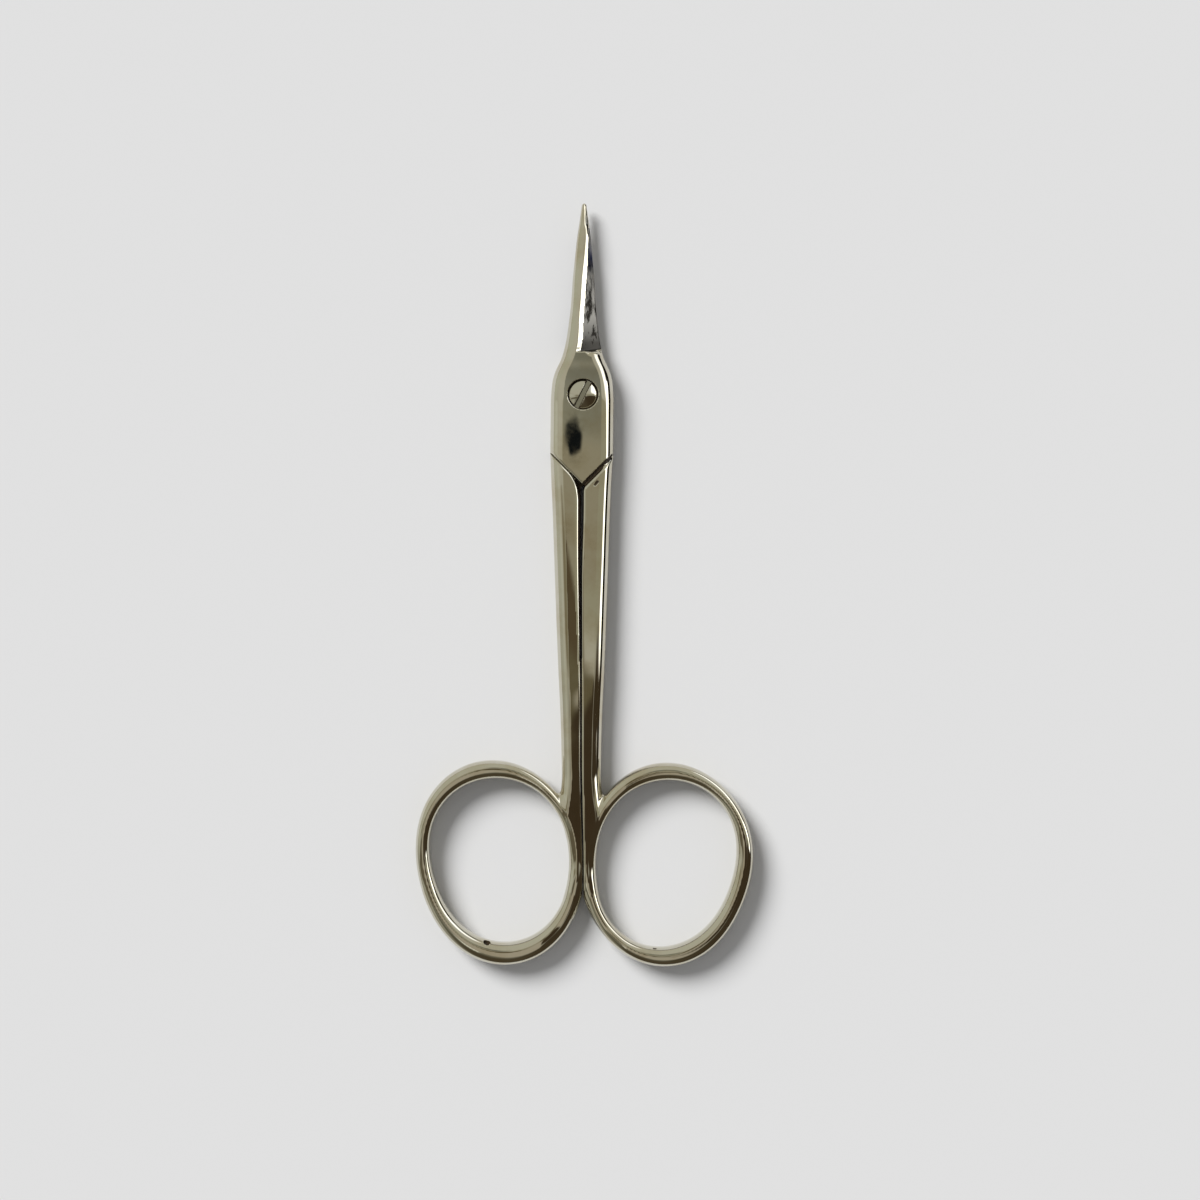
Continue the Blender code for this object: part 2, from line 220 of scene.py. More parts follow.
@dataclass(frozen=True)
class Skinner:
    """Skins a solid that a field describes, keeping its sharp edges and its exact round faces."""

    solid: Field
    places: tuple[Array, Array, Array]
    probe: float = 0.002
    flatness: float = 0.04
    corner_pull: float = 0.3
    crossing_steps: int = 4
    settling_steps: int = 3

    def gradient(self, points: Array) -> Array:
        """Field's slope at points, by central differences.

        Args:
            points: Points as rows, in mm.

        Returns:
            Slopes as rows.
        """
        slopes = np.empty_like(points)
        for axis in range(3):
            step = np.zeros(3)
            step[axis] = self.probe
            ahead, behind = points + step, points - step
            slopes[:, axis] = self.solid(ahead.T) - self.solid(behind.T)
        return slopes / (2 * self.probe)

    def unit_gradient(self, points: Array) -> Array:
        """Outward unit normals at points near the surface."""
        slopes = self.gradient(points)
        return slopes / np.maximum(np.linalg.norm(slopes, axis=1, keepdims=True), 1e-9)

    def crossings(self, values: Array, axis: int) -> tuple[Array, Array, Array]:
        """Find where grid lines along one axis cross the surface.

        Args:
            values: Field at the grid's nodes.
            axis: The lines' axis.

        Returns:
            Lower node of each crossed grid edge, the crossing points, and whether the lower node is inside.
        """
        low = [slice(None)] * 3
        high = [slice(None)] * 3
        low[axis], high[axis] = slice(None, -1), slice(1, None)
        first, second = values[tuple(low)], values[tuple(high)]
        nodes = np.argwhere((first < 0.0) != (second < 0.0))
        at = tuple(nodes.T)
        start_value, end_value = first[at].copy(), second[at].copy()
        inside = start_value < 0.0
        points = np.stack([self.places[a][nodes[:, a]] for a in range(3)], axis=1)
        start = points[:, axis].copy()
        end = self.places[axis][nodes[:, axis] + 1].copy()
        for _ in range(self.crossing_steps):
            points[:, axis] = start + (end - start) * start_value / (start_value - end_value)
            found = self.solid(points.T)
            same = (found < 0.0) == inside
            start, end = np.where(same, points[:, axis], start), np.where(same, end, points[:, axis])
            start_value = np.where(same, found, start_value)
            end_value = np.where(same, end_value, found)
            end_value = np.where(end_value == start_value, end_value + 1e-12, end_value)
        return nodes, points, inside

    def skin(self) -> Skin:
        """Skin the solid.

        Returns:
            One vertex in each grid cell that the surface passes, and one quad for each crossed grid edge.
        """
        xs, ys, zs = self.places
        values = np.broadcast_to(
            self.solid((xs[:, None, None], ys[None, :, None], zs[None, None, :])),
            (len(xs), len(ys), len(zs)))
        shape = np.array(values.shape)
        cell_lists, point_list, normal_list = [], [], []
        for axis in range(3):
            nodes, points, inside = self.crossings(values, axis)
            second, third = (axis + 1) % 3, (axis + 2) % 3
            corners = []
            for back_second, back_third in ((1, 1), (0, 1), (0, 0), (1, 0)):
                cell = nodes.copy()
                cell[:, second] -= back_second
                cell[:, third] -= back_third
                corners.append(np.ravel_multi_index(tuple(cell.T), tuple(shape)))
            cells = np.stack(corners, axis=1)
            cells[~inside] = cells[~inside][:, ::-1]
            cell_lists.append(cells)
            point_list.append(points)
            normal_list.append(self.unit_gradient(points))
        cells = np.concatenate(cell_lists)
        used, quads = np.unique(cells, return_inverse=True)
        quads = quads.reshape(cells.shape)
        points, normals = np.concatenate(point_list), np.concatenate(normal_list)
        vertices, smooth = self.settle(used, quads, shape, points, normals)
        return Skin(vertices, quads, self.corner_normals(vertices, quads, smooth))

    def settle(self, used: Array, quads: Array, shape: Array, points: Array,
               normals: Array) -> tuple[Array, Array]:
        """Place each cell's vertex on the surface, or on the edge or corner that the cell holds.

        Args:
            used: Flat index of each cell that the surface passes.
            quads: Cells round each crossing.
            shape: Node count of the grid along each axis.
            points: Crossing points.
            normals: Normals at the crossings.

        Returns:
            Vertices, and whether the surface is smooth at each.
        """
        count = len(used)
        owners = quads.ravel()
        crossing = np.repeat(np.arange(len(points)), 4)
        hits = np.bincount(owners, minlength=count).astype(float)

        def gather(weights: Array) -> Array:
            """Mean of a value over each cell's crossings."""
            return np.bincount(owners, weights[crossing], minlength=count) / hits

        middle = np.stack([gather(points[:, a]) for a in range(3)], axis=1)
        spread = np.empty((count, 3, 3))
        for a in range(3):
            for b in range(a, 3):
                spread[:, a, b] = spread[:, b, a] = gather(normals[:, a] * normals[:, b])
        reach = (normals * points).sum(axis=1)
        aim = np.stack([gather(normals[:, a] * reach) for a in range(3)], axis=1)
        aim -= np.einsum("nij,nj->ni", spread, middle)
        sizes, turns = np.linalg.eigh(spread)
        strong = sizes > self.flatness
        along = np.einsum("nji,nj->ni", turns, aim)
        along = np.where(strong, along / np.where(strong, sizes, 1.0), 0.0)
        vertices = middle + np.einsum("nij,nj->ni", turns, along)
        cell = np.stack(np.unravel_index(used, tuple(shape)), axis=1)
        low = np.stack([self.places[a][cell[:, a]] for a in range(3)], axis=1)
        high = np.stack([self.places[a][cell[:, a] + 1] for a in range(3)], axis=1)
        smooth = strong.sum(axis=1) < 2
        rounded = middle[smooth]
        for _ in range(self.settling_steps):
            slopes = self.gradient(rounded)
            lengths = np.maximum((slopes**2).sum(axis=1), 1e-3)
            rounded = rounded - slopes * (self.solid(rounded.T) / lengths)[:, None]
        vertices[smooth] = rounded
        return np.clip(vertices, low, high), smooth

    def corner_normals(self, vertices: Array, quads: Array, smooth: Array) -> Array:
        """Work out the shading normal of every quad corner.

        Args:
            vertices: Vertices in mm.
            quads: Vertex numbers of each quad.
            smooth: Whether the surface is smooth at each vertex.

        Returns:
            One unit normal for each corner, taken just beside the edge where the surface has one.
        """
        at_vertices = self.unit_gradient(vertices)
        normals = at_vertices[quads]
        sharp = ~smooth[quads]
        middles = np.repeat(vertices[quads].mean(axis=1)[:, None], 4, axis=1)
        beside = vertices[quads][sharp]
        beside = beside + self.corner_pull * (middles[sharp] - beside)
        normals[sharp] = self.unit_gradient(beside)
        return normals


# Colours and nodes.


def linear(colour: str) -> Colour:
    """Turn an sRGB hex colour into linear red, green, blue and alpha.

    Args:
        colour: Colour such as "#d1cdbc".

    Returns:
        Linear channels with alpha 1.
    """
    channels = [int(colour[start:start + 2], 16) / 255.0 for start in (1, 3, 5)]
    bent = [c / 12.92 if c <= 0.04045 else ((c + 0.055) / 1.055) ** 2.4 for c in channels]
    return bent[0], bent[1], bent[2], 1.0


def plug(node: Node, sockets: Mapping[str | int, object]) -> Node:
    """Set a node's inputs.

    Args:
        node: The node.
        sockets: Value or source socket for each input, by name or number.

    Returns:
        The node.
    """
    for key, value in sockets.items():
        if isinstance(value, Socket):
            node.id_data.links.new(value, node.inputs[key])
        else:
            node.inputs[key].default_value = value
    return node


def add_node(tree: Tree, kind: str, sockets: Mapping[str | int, object] | None = None,
             **settings: object) -> Node:
    """Add a node, set it up and link it.

    Args:
        tree: Node tree that gets it.
        kind: Node type without its "ShaderNode" prefix.
        sockets: Value or source socket for each input, by name or number.
        **settings: The node's own properties.

    Returns:
        The new node.
    """
    node = tree.nodes.new("ShaderNode" + kind)
    for name, value in settings.items():
        setattr(node, name, value)
    return plug(node, sockets or {})


def noise(tree: Tree, place: Socket, width_mm: float, detail: float, roughness: float = 0.5) -> Socket:
    """Read cloudy noise from 0 to 1, given the width of its largest spots and its number of finer layers."""
    return add_node(tree, "TexNoise", {"Vector": place, "Scale": 1.0 / (width_mm * MM), "Detail": detail,
                                       "Roughness": roughness}).outputs["Fac"]


def drawn_out(tree: Tree, place: Socket, scale: Triple, turn_deg: float = 0.0) -> Socket:
    """Turn and scale a place, so that noise read there is drawn out along a line."""
    return add_node(tree, "Mapping", {"Vector": place, "Rotation": (0.0, 0.0, math.radians(turn_deg)),
                                      "Scale": scale}).outputs["Vector"]


def remap(tree: Tree, value: Socket, span: Span, result: Span = (0.0, 1.0)) -> Socket:
    """Map one span of a value onto another and hold it at the ends."""
    return add_node(tree, "MapRange", {"Value": value, "From Min": span[0], "From Max": span[1],
                                       "To Min": result[0], "To Max": result[1]}).outputs["Result"]


def blend(tree: Tree, share: Socket, first: Socket | Colour, second: Socket | Colour) -> Socket:
    """Mix two colours, where a share of 1 gives the second one."""
    return add_node(tree, "Mix", {"Factor": share, 6: first, 7: second}, data_type="RGBA").outputs[2]


def relief(tree: Tree, height: Socket, height_mm: float, **under: Socket) -> Socket:
    """Bend the normal by a height from 0 to 1, over the bend that Normal gives when it is named."""
    return add_node(tree, "Bump", {"Height": height, "Strength": 1.0, "Distance": height_mm * MM,
                                   **under}).outputs["Normal"]


def scalar(tree: Tree, operation: str, *values: Socket | float) -> Socket:
    """Work out one number from others."""
    return add_node(tree, "Math", dict(enumerate(values)), operation=operation).outputs["Value"]


def vector(tree: Tree, operation: str, *values: Socket | Triple) -> Socket:
    """Work out a vector, or a length, from vectors."""
    node = add_node(tree, "VectorMath", dict(enumerate(values)), operation=operation)
    return node.outputs["Value" if operation == "LENGTH" else "Vector"]


def new_material(name: str) -> tuple[Material, Tree, Node]:
    """Make a material with an empty tree and its output.

    Args:
        name: The material's name.

    Returns:
        The material, its node tree and its Principled shader, linked to the output.
    """
    material = bpy.data.materials.new(name)
    material.use_nodes = True
    tree = material.node_tree
    tree.nodes.clear()
    shader = add_node(tree, "BsdfPrincipled")
    add_node(tree, "OutputMaterial", {"Surface": shader.outputs["BSDF"]})
    return material, tree, shader


# Finishes.


@dataclass(frozen=True)
class PolishedNickel:
    """Bright nickel plating on forged steel, mopped by hand before plating.

    The eye sees a warm, faintly yellow mirror. Its reflections waver a little where the mop
    left low waves, and handling has left faint haze and hairlines along the length.
    """

    name: str = "polished_nickel"
    colour: str = "#d3cfbf"
    worn_colour: str = "#c6bda6"
    haze_width_mm: float = 4.0
    haze_grain: float = 0.6
    worn_span: Span = (0.45, 0.75)
    dulled_span: Span = (0.5, 0.8)
    roughness: Span = (0.012, 0.07)
    wave_width_mm: float = 2.6
    wave_height_mm: float = 0.0006
    hairline_width_mm: float = 0.09
    hairline_height_mm: float = 0.00003
    hairline_scale: Triple = (1.0, 0.06, 1.0)

    def make(self) -> Material:
        """Build the material.

        Returns:
            Metallic material with waves, hairlines and haze.
        """
        material, tree, shader = new_material(self.name)
        place = add_node(tree, "TexCoord").outputs["Object"]
        haze = noise(tree, place, self.haze_width_mm, 4.0, self.haze_grain)
        worn = remap(tree, haze, self.worn_span)
        hairlines = noise(tree, drawn_out(tree, place, self.hairline_scale), self.hairline_width_mm, 2.0)
        waves = noise(tree, place, self.wave_width_mm, 1.0)
        fine = relief(tree, hairlines, self.hairline_height_mm)
        plug(shader, {"Metallic": 1.0, "Roughness": remap(tree, haze, self.dulled_span, self.roughness),
                      "Base Color": blend(tree, worn, linear(self.colour), linear(self.worn_colour)),
                      "Normal": relief(tree, waves, self.wave_height_mm, Normal=fine)})
        return material


@dataclass(frozen=True)
class GroundSteel:
    """Carbon steel ground bare on a fine wheel after plating.

    The eye sees a greyer metal with streaks and cloudy polish marks. On the bevel the near-black clouds and
    the darkening towards the shoulder are painted reflection of dark surroundings, and the colour turns blue
    towards the tip.
    """

    name: str = "ground_steel"
    colour: str = "#94928c"
    cloud_and_reflection_colour: str = "#24221f"
    tint_colour: str = "#4d5275"
    roughness: float = 0.3
    cloud_width_mm: float = 0.7
    cloud_scale: Triple = (1.0, 0.4, 1.0)
    cloud_turn_deg: float = -24.0
    cloud_grain: float = 0.65
    cloud_span: Span = (0.4, 0.6)
    streak_width_mm: float = 0.13
    streak_height_mm: float = 0.0016
    streak_scale: Triple = (0.12, 1.0, 1.0)
    streak_turn_deg: float = 28.0
    tint_place_mm: float = 38.7
    tint_reach_mm: float = 2.2
    darkening_span_mm: Span = (33.0, 28.5)
    tint_level: float = 0.6
    darkening_level: float = 0.9

    def make(self) -> Material:
        """Build the material.

        Returns:
            Metallic material with grinding streaks, clouds darkened as painted reflection, a painted
            darkening towards the shoulder and a blue tint towards the tip.
        """
        material, tree, shader = new_material(self.name)
        place = add_node(tree, "TexCoord").outputs["Object"]
        along = add_node(tree, "SeparateXYZ", {"Vector": place}).outputs["Y"]
        streak_place = drawn_out(tree, place, self.streak_scale, self.streak_turn_deg)
        streaks = noise(tree, streak_place, self.streak_width_mm, 3.0)
        cloud_place = drawn_out(tree, place, self.cloud_scale, self.cloud_turn_deg)
        clouds = noise(tree, cloud_place, self.cloud_width_mm, 5.0, self.cloud_grain)
        # Painted reflection: the bevel darkens towards the shoulder.
        darkening_start, darkening_end = self.darkening_span_mm
        darkened = remap(tree, along, (darkening_start * MM, darkening_end * MM), (0.0, self.darkening_level))
        # On the bevel the dark clouds are painted reflection too.
        dark = scalar(tree, "MAXIMUM", remap(tree, clouds, self.cloud_span), darkened)
        metal = blend(tree, dark, linear(self.colour), linear(self.cloud_and_reflection_colour))
        away = scalar(tree, "ABSOLUTE", scalar(tree, "SUBTRACT", along, self.tint_place_mm * MM))
        near = remap(tree, away, (self.tint_reach_mm * MM, 0.0), (0.0, self.tint_level))
        plug(shader, {"Metallic": 1.0, "Roughness": self.roughness,
                      "Base Color": blend(tree, near, metal, linear(self.tint_colour)),
                      "Normal": relief(tree, streaks, self.streak_height_mm)})
        return material


@dataclass(frozen=True)
class PaintedRecessShade:
    """Painted shade for seams, grooves and recesses: a dull dark brown with paler grains, like the wax and
    metal dust that polishing mops press in.

    The eye sees a dull brown-black line that no mirror image crosses.
    """

    name: str = "painted_recess_shade"
    colour: str = "#382d20"
    pale_grain_colour: str = "#544834"
    roughness: float = 0.55
    metallic: float = 0.3
    grain_mm: float = 0.25
    pale_grain_span: Span = (0.5, 0.7)

    def make(self) -> Material:
        """Build the material.

        Returns:
            Dull dark painted-shade material with paler grains.
        """
        material, tree, shader = new_material(self.name)
        place = add_node(tree, "TexCoord").outputs["Object"]
        pale_grain = remap(tree, noise(tree, place, self.grain_mm, 2.0), self.pale_grain_span)
        plug(shader, {"Metallic": self.metallic, "Roughness": self.roughness,
                      "Base Color": blend(tree, pale_grain, linear(self.colour), linear(self.pale_grain_colour))})
        return material


@dataclass(frozen=True)
class TurnedScrewSteel:
    """Plated screw steel, turned on a lathe and polished.

    The eye sees a small mirror with fine rings about the screw's axis.
    """

    name: str = "turned_screw_steel"
    colour: str = "#d0ccbd"
    roughness: float = 0.07
    ring_width_mm: float = 0.12
    ring_height_mm: float = 0.00025

    def make(self, axis_mm: Pair) -> Material:
        """Build the material.

        Args:
            axis_mm: The screw's axis in plan, in mm.

        Returns:
            Metallic material with turning rings.
        """
        material, tree, shader = new_material(self.name)
        place = add_node(tree, "TexCoord").outputs["Object"]
        centred = vector(tree, "SUBTRACT", place, (axis_mm[0] * MM, axis_mm[1] * MM, 0.0))
        radius = vector(tree, "LENGTH", vector(tree, "MULTIPLY", centred, (1.0, 1.0, 0.0)))
        rings = add_node(tree, "TexNoise", {"W": radius, "Scale": 1.0 / (self.ring_width_mm * MM),
                                            "Detail": 2.0}, noise_dimensions="1D")
        plug(shader, {"Metallic": 1.0, "Roughness": self.roughness, "Base Color": linear(self.colour),
                      "Normal": relief(tree, rings.outputs["Fac"], self.ring_height_mm)})
        return material


# The scissors.


@dataclass(frozen=True)
class Oval:
    """Hand-shaped oval in the plane of the scissors, placed from the pivot axis, in mm.

    Its radius changes round it in waves: one, two, three and four to the turn.
    """

    side: float
    reach: float
    radius: float
    waves: tuple[Pair, ...]

    def distance(self, x: Array, y: Array) -> Array:
        """Distance outward from the oval.

        Args:
            x: Places across, in mm.
            y: Places along, in mm.

        Returns:
            Distance in mm, negative inside.
        """
        arm = (x - self.side) + 1j * (y + self.reach)
        reach = np.maximum(np.abs(arm), 1e-6)
        turn = arm / reach
        radius, bend, power = self.radius, 0.0, turn
        for order, (even, odd) in enumerate(self.waves, start=1):
            radius = radius + even * power.real + odd * power.imag
            bend = bend + order * (odd * power.real - even * power.imag)
            power = power * turn
        return (reach - radius) / np.sqrt(1.0 + (bend / radius) ** 2)


@dataclass(frozen=True)
class FingerRing:
    """Finger ring of one half: an oval wire between the edge of its hole and its rim, in mm.

    It gets a little flatter where it runs into the shank.
    """

    hole: Oval
    rim: Oval
    height: float = 3.3
    root_drop: float = 0.2
    root_span: Span = (5.2, 2.6)
    squareness: float = 3.0
    half_width_limits: Span = (0.5, 2.5)

    def field(self, at: Place) -> Array:
        """Field of the ring.

        Args:
            at: Places across, along and up, in mm.

        Returns:
            Rough distance in mm, negative inside.
        """
        x, y, z = at
        from_hole, to_rim = self.hole.distance(x, y), -self.rim.distance(x, y)
        half = np.clip((from_hole + to_rim) / 2, *self.half_width_limits)
        across = np.abs(from_hole - to_rim) / 2 / half
        height = self.height - self.root_drop * ease(*self.root_span, x)
        lift = np.abs(z) / (height / 2)
        power = self.squareness
        share = (across**power + lift**power) ** (1.0 / power)
        return (share - 1.0) * np.minimum(half, height / 2)


@dataclass(frozen=True)
class Dent:
    """Dent struck by a ball that ran a short way, in mm from the pivot on the parting plane."""

    start: Triple
    size: float
    run: Pair = (0.0, 0.0)

    def field(self, at: Place) -> Array:
        """Field of the space that the ball swept.

        Args:
            at: Places across, along and up, in mm.

        Returns:
            Distance in mm, negative inside.
        """
        x, y, z = at
        across, along, up = x - self.start[0], y - self.start[1], z - self.start[2]
        length = max(math.hypot(*self.run), 1e-6)
        share = np.clip((across * self.run[0] + along * self.run[1]) / length**2, 0.0, 1.0)
        across, along = across - share * self.run[0], along - share * self.run[1]
        return np.sqrt(across**2 + along**2 + up**2) - self.size


@dataclass(frozen=True)
class ForgedHalf:
    """One forged half, in mm from the pivot, with the parting plane at height 0 and its ring on the +X side.

    Each span gives the two places between which a form sets in, along the half unless it says otherwise.
    """

    name: str
    node: str
    body: str
    ring: FingerRing
    lean: int
    thickness: float = 3.394
    parting_gap: float = 0.08
    tip_reach: float = 22.6
    tip_offset: float = 0.15
    tip_round: float = 0.3
    shoulder_reach: float = 5.35
    shoulder_rise: float = 0.15
    shoulder_round: float = 1.5
    shoulder_lip: float = 0.7
    shoulder_lip_span: Span = (6.3, 5.5)
    shoulder_lip_height: Span = (0.5, 0.9)
    shoulder_lip_across: Span = (0.0, 1.0)
    shoulder_tuck: float = 0.6
    shoulder_tuck_span: Span = (-12.2, -10.2)
    box_width: float = 7.44
    box_top_reach: float = 0.6
    box_offset: float = -0.18
    lap_reach: float = 10.7
    blade_root_width: float = 4.36
    blade_root_height: float = 1.5
    blade_tip_width: float = 0.5
    blade_tip_height: float = 0.5
    crotch_reach: float = 45.0
    crotch_width: float = 4.6
    crotch_fillet: float = 0.7
    crotch_fillet_place: Pair = (2.5, 1.4)
    crotch_fillet_spread: float = 1.3
    shank_end_reach: float = 58.9
    shank_end_width: float = 5.8
    shank_end_drop: float = 0.08
    shank_end_drop_run: float = 1.5
    shank_end_round: float = 0.5
    shank_twist: float = 0.035
    shank_twist_span: Span = (-33.0, -40.0)
    shank_hole_radius: float = 1.05
    run_out_start: float = 56.5
    run_out_end: float = 62.0
    run_out_drop: float = 0.5
    run_out_fillet: float = 0.2
    run_out_fillet_span: Span = (-54.0, -58.0)
    rim_cut_span: Span = (-58.5, -50.0)
    rim_cut_release: float = 100.0
    rim_cut_round: float = 0.6
    edge_round: float = 1.5
    edge_round_low: float = 1.2
    edge_round_span: Span = (-46.0, -12.0)
    edge_flatten: float = 0.95
    hole_round: float = 1.0
    face_crown: float = 0.02
    seam_gap: float = 0.15
    seam_shift_high: float = 0.0
    seam_shift_low: float = -0.2
    seam_shift_span: Span = (-12.5, -22.0)
    seam_end_span: Span = (-57.0, -43.0)
    seam_round_above: float = 0.2
    seam_round_below: float = 0.72
    seam_round_low: float = 0.12
    seam_round_span: Span = (-38.0, -14.0)
    seam_soft_span: Span = (3.0, 0.0)
    seam_soft_height: Span = (0.3, 0.9)
    sharp_round: float = 0.02
    crisp_round: float = 0.05
    cut_round: float = 0.03
    dent_round: float = 0.06
    spine_band: float = 1.12
    spine_flare: float = 0.32
    spine_flare_span: Span = (10.2, 5.5)
    grind_strip: float = 0.5
    grind_strip_share: float = 2.4
    grind_strip_slope_deg: float = 30.0
    grind_run_out_round: float = 0.2
    cutting_edge: float = 0.15
    groove_width: float = 0.42
    groove_depth: float = 0.3
    groove_lip: float = 0.36
    groove_past_apex: float = 0.3
    groove_dip: float = 0.6
    groove_dip_across: Span = (2.5, 3.4)
    head_sink_radius: float = 1.815
    head_sink_floor: float = 0.98
    has_head_sink: bool = True
    ground_touch: float = 0.03
    lap_touch: float = 0.02
    lap_margin: float = 0.2
    sink_wall: Pair = (0.3, 0.33)
    sink_touch: float = 0.01
    # Where the painted shade goes: groove, screw sink wall, low seam walls, the pocket at the lap crotch and
    # the dents.
    shade_reach: float = 0.04
    shade_share: float = 0.44
    shade_start: float = 1.4
    shade_top: float = -0.6
    shade_fall: float = 1.2
    shade_fall_span: Span = (-24.0, -34.0)
    shade_pocket: Triple = (0.3, 0.4, 1.3)
    pocket_margin: float = 0.1
    pocket_half_height: float = 0.2
    dents: tuple[Dent, ...] = ()

    BLADE_OUTLINE = ShareCurve(((0.0, 0.0), (0.05, 0.06), (0.11, 0.13), (0.25, 0.3), (0.38, 0.41),
                                (0.52, 0.53), (0.66, 0.6), (0.79, 0.71), (0.93, 0.88), (1.0, 1.0)))
    NECK_OUTLINE = ShareCurve(((0.0, 0.0), (0.2, 0.24), (0.4, 0.62), (0.6, 0.86), (0.8, 0.95), (1.0, 1.0)))
    SHANK_OUTLINE = ShareCurve(((0.0, 0.0), (0.16, 0.2), (0.4, 0.42), (0.65, 0.67), (0.82, 0.88), (1.0, 1.0)))
    MERGE_OUTLINE = ShareCurve(((0.0, 0.0), (0.17, 0.3), (0.3, 0.75), (0.5, 1.0), (1.0, 1.0)))
    BLADE_HEIGHT = ShareCurve(((0.0, 0.0), (0.35, 0.3), (0.7, 0.68), (1.0, 1.0)))
    GRID = (((-4.13, 4.13, 0.11), (4.13, 20.9, 0.22)),
            ((-68.9, -41.0, 0.22), (-41.0, -15.5, 0.45), (-15.5, 5.9, 0.12), (5.9, 23.1, 0.22)),
            ((-1.87, 1.87, 0.11),))

    @cached_property
    def tables(self) -> tuple[Array, Array, Array]:
        """Tabulate the bar's section, smoothed over a third of a mm.

        Returns:
            Places along the bar in mm, with its half width and half height there.
        """
        step, spread, past_shank, past_tip = 0.01, 0.33, 14.0, 2.0
        tip, shoulder, box_top = self.tip_reach, self.shoulder_reach, -self.box_top_reach
        shank, crotch = self.box_width / 2 - self.lap_reach, -self.crotch_reach
        shank_end = -self.shank_end_reach
        places = np.arange(shank_end - past_shank, tip + past_tip, step)
        stations = (
            (tip, shoulder, self.blade_tip_width, self.blade_root_width, self.BLADE_OUTLINE),
            (shoulder, box_top, self.blade_root_width, self.box_width, self.NECK_OUTLINE),
            (shank, crotch, self.box_width, self.crotch_width, self.SHANK_OUTLINE),
            (crotch, shank_end, self.crotch_width, self.shank_end_width, self.MERGE_OUTLINE),
        )
        width = np.full_like(places, self.box_width / 2)
        for start, end, first, last, curve in stations:
            here = (places <= start) & (places > end)
            share = (places[here] - start) / (end - start)
            width[here] = (first + (last - first) * curve(share)) / 2
        width[places > tip] = self.blade_tip_width / 2
        width[places <= shank_end] = self.shank_end_width / 2
        height = np.full_like(places, self.thickness / 2)
        blade = places > shoulder
        share = np.clip((places[blade] - shoulder) / (tip - shoulder), 0.0, 1.0)
        fall = self.blade_tip_height - self.blade_root_height
        height[blade] = self.blade_root_height + fall * self.BLADE_HEIGHT(share)
        neck = (places <= shoulder) & (places > box_top)
        share = (shoulder - places[neck]) / (shoulder - box_top)
        rise = self.thickness / 2 - self.blade_root_height
        height[neck] = self.blade_root_height + rise * self.NECK_OUTLINE(share)
        height -= self.shank_end_drop * ease(crotch, shank_end - self.shank_end_drop_run, places)
        height -= self.run_out_drop * ease(-self.run_out_start, -self.run_out_end, places)
        reach = np.arange(-4 * spread, 4 * spread + step, step)
        bell = np.exp(-((reach / spread) ** 2) / 2)
        bell /= bell.sum()
        pad = len(reach) // 2
        smooth = [np.convolve(np.pad(row, pad, mode="edge"), bell, mode="valid")[:len(places)]
                  for row in (width, height)]
        return places, smooth[0], smooth[1]

    def outline(self, y: Array) -> tuple[Array, Array, Array]:
        """Read the bar's section sizes.

        Args:
            y: Places along the bar in mm.

        Returns:
            Half width, half height and middle line at each place.
        """
        places, width, height = self.tables
        share = np.clip((self.tip_reach - y) / (self.tip_reach + self.lap_reach), 0.0, 1.0)
        middle = self.lean * (self.tip_offset + (self.box_offset - self.tip_offset) * share)
        return np.interp(y, places, width), np.interp(y, places, height), middle

    def edge(self, y: Array, width: Array, height: Array) -> tuple[Array, Array]:
        """Work out the rounding of the bar's edges, which tightens towards the ring.

        Args:
            y: Places along the bar in mm.
            width: Half width there.
            height: Half height there.

        Returns:
            Rounding measured across and up.
        """
        radius = eased(self.edge_round_low, self.edge_round, self.edge_round_span, y)
        most_across, most_up = 0.9 * width, 0.8 * height
        return np.minimum(radius, most_across), np.minimum(self.edge_flatten * radius, most_up)

    def bar(self, at: Place) -> Array:
        """Field of blade, box and shank before any cut.

        Args:
            at: Places across, along and up, in mm.

        Returns:
            Rough distance in mm, negative inside.
        """
        x, y, z = at
        width, height, middle = self.outline(y)
        across, up = self.edge(y, width, height)
        out = (np.abs(x - middle) - width) / across + 1.0
        crown = self.face_crown * ((x - middle) / width) ** 2
        fall = width / 2 + self.lean * (x - middle - width / 2)
        crown = crown + self.shank_twist * fall * ease(*self.shank_twist_span, y)
        lift = (np.abs(z) + crown - height) / up + 1.0
        corner = np.hypot(np.maximum(out, 0.0), np.maximum(lift, 0.0))
        beyond = corner + np.minimum(np.maximum(out, lift), 0.0)
        side = (beyond - 1.0) * np.minimum(across, up)
        bar = round_max(side, y - self.tip_reach, self.tip_round)
        bar = round_max(bar, -self.run_out_end - y, self.shank_end_round)
        past_rim = self.ring.rim.distance(x, y) - self.rim_cut_release * ease(*self.rim_cut_span, y)
        return round_max(bar, past_rim, self.rim_cut_round)

    def seam_line(self, y: Array) -> Array:
        """Place of the seam across, in mm, at places along the shank."""
        shift = eased(self.seam_shift_high, self.seam_shift_low, self.seam_shift_span, y)
        return shift * ease(*self.seam_end_span, y)

    def seam_rounding(self, y: Array, z: Array) -> Array:
        """Work out the rounding of the edges at the seam and the lap line.

        Args:
            y: Places along in mm.
            z: Heights from the parting plane.

        Returns:
            Radius in mm.
        """
        soft = ease(*self.seam_soft_height, np.abs(z)) * ease(*self.seam_soft_span, y)
        below = eased(self.seam_round_low, self.seam_round_below, self.seam_round_span, y)
        tuck = 1.0 - self.shoulder_tuck * ease(*self.shoulder_tuck_span, y)
        radius = np.where(z > 0.0, self.seam_round_above, below * tuck)
        return self.sharp_round + soft * (radius - self.sharp_round)

